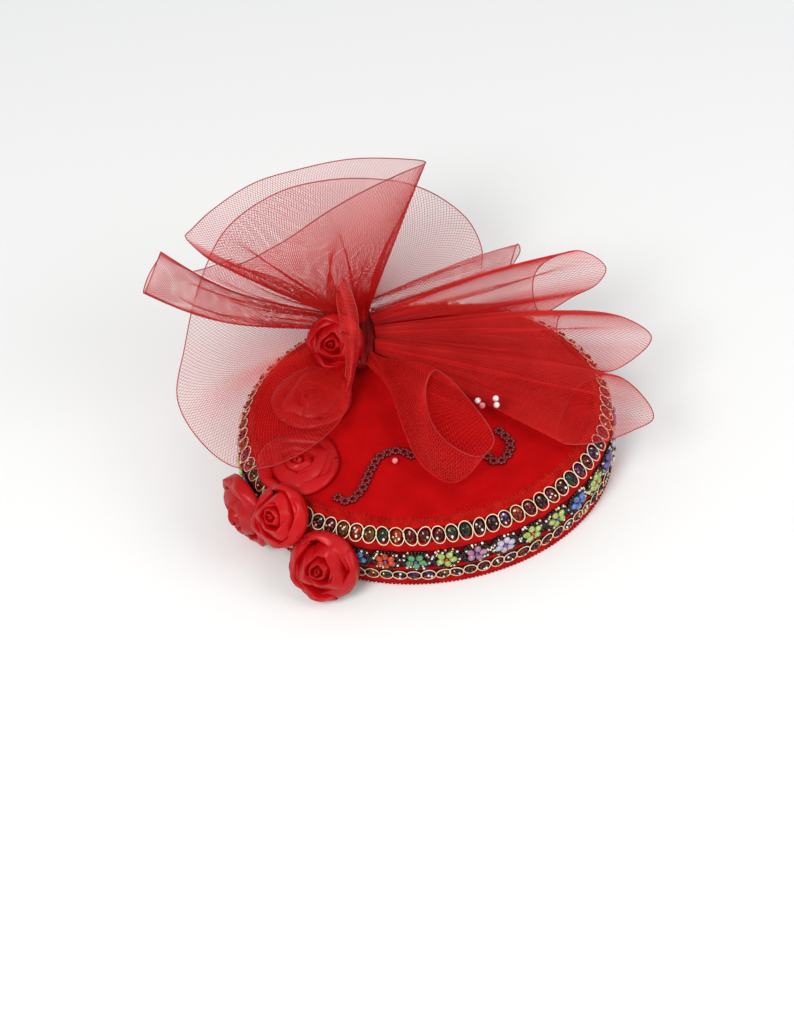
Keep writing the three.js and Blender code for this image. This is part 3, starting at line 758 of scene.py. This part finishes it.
# The loops' free edges: along, across, up as shares of the bow's size, and swell
UPRIGHT_RIM = [
    (-0.315, -0.03, 0.93, 0),
    (-0.305, -0.01, 0.926, 0),
    (-0.265, 0.07, 0.91, 0.3),
    (-0.175, 0.17, 0.91, 0.3),
    (-0.075, 0.23, 0.88, 0.3),
    (0.025, 0.26, 0.86, 0.3),
    (0.125, 0.23, 0.87, 0.3),
    (0.175, 0.17, 0.92, 0),
    (0.125, 0.09, 0.99, 0.6),
    (0.035, 0.03, 0.98, 1),
    (-0.035, -0.01, 0.94, 1),
    (-0.135, -0.06, 0.85, 1),
    (-0.245, -0.08, 0.78, 0.5),
    (-0.308, -0.04, 0.9, 0.1),
]
LEFT_RIM = [
    (-0.365, -0.13, 0.97, 1),
    (-0.39, -0.17, 0.92, 1),
    (-0.405, -0.18, 0.84, 1),
    (-0.405, -0.14, 0.77, 1),
    (-0.385, -0.09, 0.82, 1),
    (-0.365, -0.08, 0.92, 1),
]
FRONT_RIM_A = [
    (0.345, 0.12, 0.38, 1),
    (0.33, 0.08, 0.34, 1),
    (0.325, 0.08, 0.28, 0.5),
    (0.335, 0.11, 0.27, 0),
    (0.35, 0.13, 0.31, 0),
]
FRONT_RIM_B = [
    (0.515, -0.04, 0.41, 0),
    (0.465, 0.02, 0.45, 1),
    (0.385, 0, 0.41, 1),
    (0.365, -0.03, 0.34, 0.5),
    (0.375, -0.07, 0.2, 0),
    (0.445, -0.06, 0.27, 0),
    (0.495, -0.06, 0.34, 0),
]
FRONT_RIM_C = [
    (0.585, -0.28, 0.3, 0),
    (0.545, -0.19, 0.29, 1),
    (0.475, -0.13, 0.27, 1),
    (0.415, -0.11, 0.24, 1),
    (0.405, -0.17, 0.16, 0.5),
    (0.485, -0.3, 0.13, 0),
    (0.555, -0.29, 0.2, 0),
]
FRONT_RIM_D = [
    (0.565, -0.52, 0.16, 0),
    (0.545, -0.42, 0.18, 1),
    (0.495, -0.33, 0.16, 1),
    (0.425, -0.35, 0.12, 0.5),
    (0.375, -0.51, 0.06, 0),
    (0.455, -0.55, 0.09, 0),
    (0.525, -0.54, 0.13, 0),
]
NEAR_RIM = [
    (0.245, -0.56, 0.2, 0.3),
    (0.215, -0.45, 0.26, 0),
    (0.145, -0.29, 0.26, 0),
    (0.125, -0.32, 0.22, 0.5),
    (0.125, -0.43, 0.18, 1),
    (0.155, -0.52, 0.15, 1),
    (0.215, -0.58, 0.14, 0.9),
]
WHEEL_RIM = [
    (-0.03, -0.13, 0.06, 0),
    (-0.025, -0.21, 0.1, 0.5),
    (-0.055, -0.36, 0.11, 1),
    (-0.125, -0.46, 0.11, 1),
    (-0.205, -0.5, 0.09, 1),
    (-0.275, -0.47, 0.06, 1),
    (-0.345, -0.34, 0.05, 1),
    (-0.385, -0.17, 0.07, 0.3),
    (-0.36, -0.05, 0.2, 0),
    (-0.32, 0.06, 0.4, 0),
    (-0.25, 0.2, 0.57, 0),
    (-0.14, 0.31, 0.61, 0),
    (-0.03, 0.37, 0.57, 0),
    (0.07, 0.39, 0.51, 0),
    (0.145, 0.39, 0.44, 0),
    (0.205, 0.37, 0.35, 0),
    (0.255, 0.32, 0.25, 0),
    (0.275, 0.26, 0.14, 0),
    (0.27, 0.23, 0.06, 0),
]


# The long edges of a folded narrow strip that comes over the knot and down beside its rose
STRIP_LEFT = [
    (-0.034, -0.021, 0.463, 1),
    (-0.036, -0.06, 0.417, 1),
    (-0.033, -0.104, 0.349, 1),
    (-0.03, -0.143, 0.272, 1),
    (-0.031, -0.182, 0.198, 1),
    (-0.04, -0.226, 0.13, 1),
    (-0.053, -0.26, 0.085, 1),
]
STRIP_RIGHT = [
    (-0.018, -0.021, 0.513, 1),
    (-0.006, -0.054, 0.481, 1),
    (0.003, -0.098, 0.412, 1),
    (0.001, -0.143, 0.312, 1),
    (-0.008, -0.182, 0.219, 1),
    (-0.024, -0.226, 0.13, 1),
    (-0.044, -0.265, 0.06, 1),
]
# Width of the strip over the straight distance between its edges
STRIP_EASE = 1.6
# Free edge of the cloth that falls from the tall loop's front towards the left loop
TUCK_RIM = [
    (-0.305, -0.113, 0.823, 1),
    (-0.287, -0.102, 0.813, 1),
    (-0.268, -0.091, 0.808, 1),
    (-0.228, -0.079, 0.822, 1),
]
WHEEL_STEPS, STRIP_STEPS, TUCK_STEPS = 260, 80, 60


def wheel():
    """The wide single layer that lies over the back of the tip and stands up behind the loops."""
    rim, length = spline(in_bow(WHEEL_RIM), False, WHEEL_STEPS)
    share = np.linspace(0, 1, WHEEL_STEPS)
    gather, _ = on_knot(222 - 146 * share, -0.62 + 0.67 * share, SEAT_GAP + 0.5 * MM)
    push = np.array([0, 0, 0.085]) * BOW_SIZE
    folds = [(0.08, 7, 0.5), (0.2, 8, 0.35), (0.32, 8, 0.3), (0.5, 7, 0.3), (0.8, 8, 0.4)]
    folds = [(place, width * MM, reach) for place, width, reach in folds]
    sheet = Sheet(gather, rim[:, :3], rim[:, 3], length, push, 1.4, 7, 0.3 * MM, folds, False)
    dress_sheet("braid_wheel", sheet, "braid_wheel")


def strip():
    """The narrow folded strip over the knot."""
    left, _ = spline(in_bow(STRIP_LEFT), False, STRIP_STEPS)
    right, length = spline(in_bow(STRIP_RIGHT), False, STRIP_STEPS)
    push = np.array([0.0, -0.03, 0.03]) * BOW_SIZE
    folds = [(0.4, 3 * MM, 0.9)]
    sheet = Sheet(left[:, :3], right[:, :3], right[:, 3], length, push, 1, 2, 0.2 * MM, folds, False)
    sheet.width *= STRIP_EASE
    dress_sheet("braid_strip", sheet, material=FOLDED)


def tuck():
    """The cloth between the tall loop and the left loop."""
    rim, length = spline(in_bow(TUCK_RIM), False, TUCK_STEPS)
    share = np.linspace(0, 1, TUCK_STEPS)
    gather, _ = on_knot(150 - 24 * share, 0.75 + 0.08 * share, SEAT_GAP + 0.3 * MM)
    push = np.array([0, -0.02, -0.03]) * BOW_SIZE
    folds = [(0.05, 4 * MM, 1), (0.5, 4 * MM, 0.9)]
    sheet = Sheet(gather, rim[:, :3], rim[:, 3], length, push, 1.2, 2, 0.5 * MM, folds, False)
    dress_sheet("braid_tuck", sheet)


# Folds of the loops: place, width in mm, reach
UPRIGHT_FOLDS = [
    (0.985, 15, 1),
    (0.93, 12, 0.95),
    (0.04, 9, 0.9),
    (0.56, 16, 1),
    (0.76, 20, 0.95),
    (0.3, 7, 0.7),
]
LEFT_FOLDS = [(0.0, 6, 1), (0.45, 7, 1), (0.7, 4, 0.8), (0.12, 6, 0.55), (0.42, 6, 0.6), (0.72, 6, 0.55)]
BACK_FOLDS = [(0.0, 6, 1), (0.5, 6, 1)]
FAN_FOLDS = [(0.02, 7, 1), (0.18, 7, 0.85), (0.34, 7, 0.7), (0.5, 7, 0.95), (0.68, 7, 0.8), (0.84, 7, 0.7)]
NEAR_FOLDS = [(0.1, 7, 0.9), (0.3, 5, 0.8), (0.6, 6, 0.9), (0.85, 7, 1)]


def braid():
    """Each loop by its turn and level on the knot, its neck, push, skew, pleats, depth and folds."""
    up, down = (0, 0, 0.03), (0, 0, -0.1)
    near, under = (0, -0.03, 0), (-0.01, -0.15, -0.08)
    cornet("braid_upright_loop", 90, 0.97, 0.29, near, 1.4, 5, 1.2, UPRIGHT_FOLDS, UPRIGHT_RIM)
    cornet("braid_left_loop", 165, 0.35, 0.235, down, 1.4, 3, 0.5, LEFT_FOLDS, LEFT_RIM)
    cornet("braid_front_loop_a", 50, 0.45, 0.205, up, 1.4, 4, 0.4, BACK_FOLDS, FRONT_RIM_A)
    cornet("braid_front_loop_b", 22, 0.28, 0.225, up, 1.4, 6, 0.6, FAN_FOLDS, FRONT_RIM_B, True)
    cornet("braid_front_loop_c", -1, 0.08, 0.225, up, 1.4, 6, 0.6, FAN_FOLDS, FRONT_RIM_C, True)
    cornet("braid_front_loop_d", -24, 0.05, 0.225, up, 1.4, 6, 0.6, FAN_FOLDS, FRONT_RIM_D, True)
    cornet("braid_near_loop", -56, 0.1, 0.225, under, 2.2, 4, 0.5, NEAR_FOLDS, NEAR_RIM, True)
    wheel()
    strip()
    tuck()


def knot():
    """The bound waist of the bow: a pleated strip of braid laid over its gathers, in a dark red that is
    painted shade of the dense gathers.
    """
    rings, sides = 60, 96
    tilt = np.linspace(0, math.pi, rings + 1)[:, None]
    turn = 2 * math.pi * np.arange(sides) / sides
    reach = np.sin(tilt) ** 0.6 * (1 - 0.25 * np.abs(np.sin(5.5 * turn + 1.2 * tilt)) ** 0.7)
    shape = np.stack([reach * np.cos(turn), -np.cos(tilt) + 0 * turn, reach * np.sin(turn)], -1)
    points = KNOT + shape * KNOT_HALF
    made = new_object("knot_wrap", points.reshape(-1, 3), grid_faces(rings + 1, sides, True), [SHADED_GATHERS])
    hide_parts("bow_knot")


# Ribbon roses

# (reach, height) of a ribbon turn from its hidden foot over its fold to its outer edge
SECTION = np.array(
    [
        (-0.5, 0.0),
        (-0.3, 0.5),
        (-0.1, 0.93),
        (-0.02, 0.995),
        (0.0, 1.0),
        (0.05, 0.99),
        (0.3, 0.88),
        (0.6, 0.7),
        (0.9, 0.45),
        (1.0, 0.2),
    ]
)
# reach, breadth, height as shares of the rose, number of turned pieces
ROUNDS = [(0.06, 0.11, 1.0, 2), (0.19, 0.18, 0.98, 2), (0.4, 0.32, 0.88, 3), (0.7, 0.34, 0.6, 4)]
ROUND_TURN = 2.4  # between one round and the next
SWEEP = 1.45  # of a piece, over its even share of the circle
CORNER_AT, CORNER_WIDTH = 0.45, 0.3  # along a piece that runs from -1 to 1
RIBBON_THICKNESS = 0.35 * MM


def rose(name, node, axis, radius, depth, spin, shift=(0, 0, 0)):
    """A ribbon rose on the middle of its node's box, opening along axis: rounds of turned ribbon,
    each with its fold as a sharp upper edge, one end tucked in and a corner at the other. The
    shift from the node is in mm."""
    low, high = (np.array(corner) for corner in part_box(node))
    axis = unit(np.array(axis, float))
    share = np.linspace(-1, 1, 26)[:, None]
    corner = np.exp(-(((share - CORNER_AT) / CORNER_WIDTH) ** 2))
    parts = []
    for number, (reach, breadth, height, pieces) in enumerate(ROUNDS):
        half_sweep = math.pi / pieces * SWEEP
        side_angle = math.pi / max(pieces, 3)
        from_corner = np.minimum(np.abs(share - CORNER_AT) * half_sweep, 2 * side_angle)
        straight = math.cos(side_angle) / np.cos(from_corner - side_angle)
        waves = 0.018 * np.sin(7 * share + 5 * SECTION[:, 0] + number) * SECTION[:, 1]
        for piece in range(pieces):
            place = 2 * math.pi * (piece + 0.15 * RANDOM.standard_normal()) / pieces
            angle = spin + ROUND_TURN * number + place + share * half_sweep
            plan = reach * (1 + 0.14 * share) * (0.55 + 0.6 * straight)
            plan = plan + 0.02 * number * (1 + RANDOM.random())
            tall = height * (1 - 0.16 * share**2) * (1 + 0.07 * corner * RANDOM.random())
            out = plan + breadth * SECTION[:, 0] * (1 + 0.3 * corner - 0.3 * share**4)
            out = radius * np.minimum(out + waves, 1.04)
            rise = depth * (tall * SECTION[:, 1] + 0.5 * waves * number)
            points = np.stack([out * np.cos(angle), out * np.sin(angle), rise], -1)
            parts.append((points.reshape(-1, 3), grid_faces(len(share), len(SECTION))))
    points, faces = joined(parts)
    side = unit(np.cross([0, 0, 1] if abs(axis[2]) < 0.9 else [1, 0, 0], axis))
    up = np.cross(axis, side)
    seat = (low + high) / 2 - axis * depth * 0.5 + np.array(shift) * MM
    made = new_object(name, seat + points @ np.stack([side, up, axis]), faces, [SATIN])
    solid = made.modifiers.new("ribbon", "SOLIDIFY")
    solid.thickness = RIBBON_THICKNESS
    solid.offset = 0
    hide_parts(node)


def wall_axis(node, rise=0.0):
    """The way out of the crown's wall at a node, turned up by rise."""
    low, high = (np.array(corner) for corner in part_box(node))
    out = ((low + high) / 2 - CROWN_CENTRE) / np.array([HALF_LENGTH**2, HALF_WIDTH**2, 1])
    out[2] = 0
    out = unit(out)
    out[2] = rise
    return unit(out)


def roses():
    side, left, mid = "rose_side", "rose_back_left", "rose_back_mid"
    rose("rose_c", side, wall_axis(side, 0.53), 18.5 * MM, 14 * MM, 0.4, shift=(-2, 0, -1))
    rose("rose_a", left, wall_axis(left), 20 * MM, 15 * MM, 1.3, shift=(1, -3, 0))
    rose("rose_b", mid, wall_axis(mid, 0.9), 16 * MM, 14 * MM, 2.2, shift=(0, -2, -1))
    rose("rose_on_tip", "rose_tip", (0, 0, 1), 21 * MM, 6.5 * MM, 0.9)
    rose("rose_under", "rose_under_braid", (0, 0, 1), 21 * MM, 6 * MM, 0.1)
    rose("rose_on_bow", "rose_bow", (-0.3, -0.75, 0.6), 15 * MM, 13 * MM, 0.2, shift=(-3, -1, 0))


# Bead scrolls and crystals on the tip, in shares of the crown's half length and half width

SCROLL_BACK = [
    (-0.5, -0.66),
    (-0.45, -0.7),
    (-0.38, -0.63),
    (-0.32, -0.48),
    (-0.26, -0.36),
    (-0.15, -0.33),
    (-0.09, -0.38),
]
SCROLL_FRONT = [(0.39, -0.26), (0.44, -0.36), (0.42, -0.46), (0.36, -0.52), (0.31, -0.46)]
SCROLL_PITCH = 4.2 * MM
SCROLL_RING = 1.9 * MM
SCROLL_BEAD = 1.1 * MM
BEADS_IN_RING = 7
CRYSTALS = [(0.39, 0.02), (0.39, -0.035), (0.295, 0.02), (0.315, -0.025), (-0.18, -0.4)]
CRYSTAL_RISE = np.array([18, 18, 16, 16, 2]) * MM
CRYSTAL_KINDS = np.array([0, 0, 0, 1, 1])
CRYSTAL_SIZE = 1.7 * MM
STEMS = 4
STEM_RADIUS = 0.15 * MM


def on_tip(rows):
    across = CROWN_CENTRE[:2] + np.array(rows) * (HALF_LENGTH, HALF_WIDTH)
    return np.hstack([across, np.full((len(rows), 1), TIP_TOP)])


def free_beads(name, places, size, materials, which=None):
    shape, faces = ball(6, 10)
    count = len(places)
    points = places[:, None] + shape[None] * size
    all_faces = faces[None] + (np.arange(count) * len(shape))[:, None, None]
    kinds = None if which is None else np.repeat(which, len(faces))
    made = new_object(name, points.reshape(-1, 3), all_faces.reshape(-1, 4), materials, kinds)
    return made


def scroll(name, node, rows):
    """A line of small bead rings sewn on the tip."""
    places = on_tip(rows)
    _, length = spline(places, False, 10)
    middles, _ = spline(places, False, max(2, round(length / SCROLL_PITCH)))
    turn = 2 * math.pi * np.arange(BEADS_IN_RING) / BEADS_IN_RING
    ring = np.stack([np.cos(turn), np.sin(turn), 0 * turn], -1) * SCROLL_RING
    spots = (middles[:, None] + ring[None]).reshape(-1, 3)
    spots[:, 2] = TIP_TOP + 0.9 * MM
    made = free_beads(name, spots, SCROLL_BEAD, [DARK_RED_BEAD])
    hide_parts(node)


def crystals():
    """Small crystals, four of them on wire stems that stand up past the edge of the loops."""
    feet = on_tip(CRYSTALS)
    lean = CRYSTAL_RISE * math.cos(ELEVATION) / math.sin(ELEVATION)
    tops = feet + np.stack([0 * lean, -lean, CRYSTAL_RISE], -1)
    free_beads("crystals", tops, CRYSTAL_SIZE, [CLEAR_BEAD, PINK_BEAD], CRYSTAL_KINDS)
    stems = np.stack([feet[:STEMS], tops[:STEMS]], 1)
    outward = np.broadcast_to([1.0, 0, 0], stems.shape)
    wires = new_object("crystal_stems", *tubes(stems, outward, STEM_RADIUS, 4), [DARK_RED_BEAD])


# Stage, lights and camera


FLOOR_HALF = 6.0
FLOOR_COLOR = (0.86, 0.86, 0.84)
SKY_COLOR = (0.95, 0.97, 1, 1)
SKY_POWER = 0.6


def stage():
    corners = FLOOR_HALF * np.array([(-1, -1, 0), (1, -1, 0), (1, 1, 0), (-1, 1, 0)])
    mesh = bpy.data.meshes.new("floor")
    mesh.from_pydata(corners.tolist(), [], [(0, 1, 2, 3)])
    floor = bpy.data.objects.new("floor", mesh)
    bpy.context.scene.collection.objects.link(floor)
    mesh.materials.append(shader("floor", FLOOR_COLOR, 0.9)[0])
    world = bpy.data.worlds.new("room")
    world.use_nodes = True
    background = world.node_tree.nodes["Background"]
    background.inputs["Color"].default_value = SKY_COLOR
    background.inputs["Strength"].default_value = SKY_POWER
    bpy.context.scene.world = world
    bpy.context.scene.view_settings.view_transform = "Standard"


def area_light(name, place, size, power, target):
    light = bpy.data.lights.new(name, "AREA")
    light.shape = "DISK"
    light.size = size
    light.energy = power
    made = bpy.data.objects.new(name, light)
    ahead = unit(np.array(target) - np.array(place))
    side = unit(np.cross(ahead, [0, 0, 1]))
    up = np.cross(side, ahead)
    rotation = Matrix(np.stack([side, up, -ahead], 1).tolist()).to_4x4()
    made.matrix_world = Matrix.Translation(place) @ rotation
    bpy.context.scene.collection.objects.link(made)


def camera():
    """At the photograph's viewing angle, rolled and shifted to its framing."""
    back = np.array([0, -math.cos(ELEVATION), math.sin(ELEVATION)])
    level_up = np.array([0, math.sin(ELEVATION), math.cos(ELEVATION)])
    level_right = np.array([1.0, 0, 0])
    right = math.cos(ROLL) * level_right - math.sin(ROLL) * level_up
    up = math.sin(ROLL) * level_right + math.cos(ROLL) * level_up
    data = bpy.data.cameras.new("camera")
    data.sensor_width = SENSOR
    data.sensor_fit = "AUTO"
    data.lens = SENSOR * FOCAL_PIXELS / FRAME_HEIGHT
    data.shift_x = (FRAME_WIDTH / 2 - CENTRE_COLUMN) / FRAME_HEIGHT
    data.shift_y = (CENTRE_ROW - FRAME_HEIGHT / 2) / FRAME_HEIGHT
    made = bpy.data.objects.new("camera", data)
    rotation = Matrix(np.stack([right, up, back], 1).tolist()).to_4x4()
    made.matrix_world = Matrix.Translation(CROWN_CENTRE + back * DISTANCE) @ rotation
    bpy.context.scene.collection.objects.link(made)
    bpy.context.scene.camera = made


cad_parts["crown"].material_slots[0].material = FELT
band()
braid()
knot()
roses()
scroll("scroll_back", "bead_scroll_back", SCROLL_BACK)
scroll("scroll_front", "bead_scroll_front", SCROLL_FRONT)
crystals()
stage()
area_light("key", (-0.6, -1.1, 1.5), size=0.7, power=22, target=CROWN_CENTRE)
area_light("fill", (1.2, -0.6, 1.1), size=1.0, power=8, target=CROWN_CENTRE)
camera()
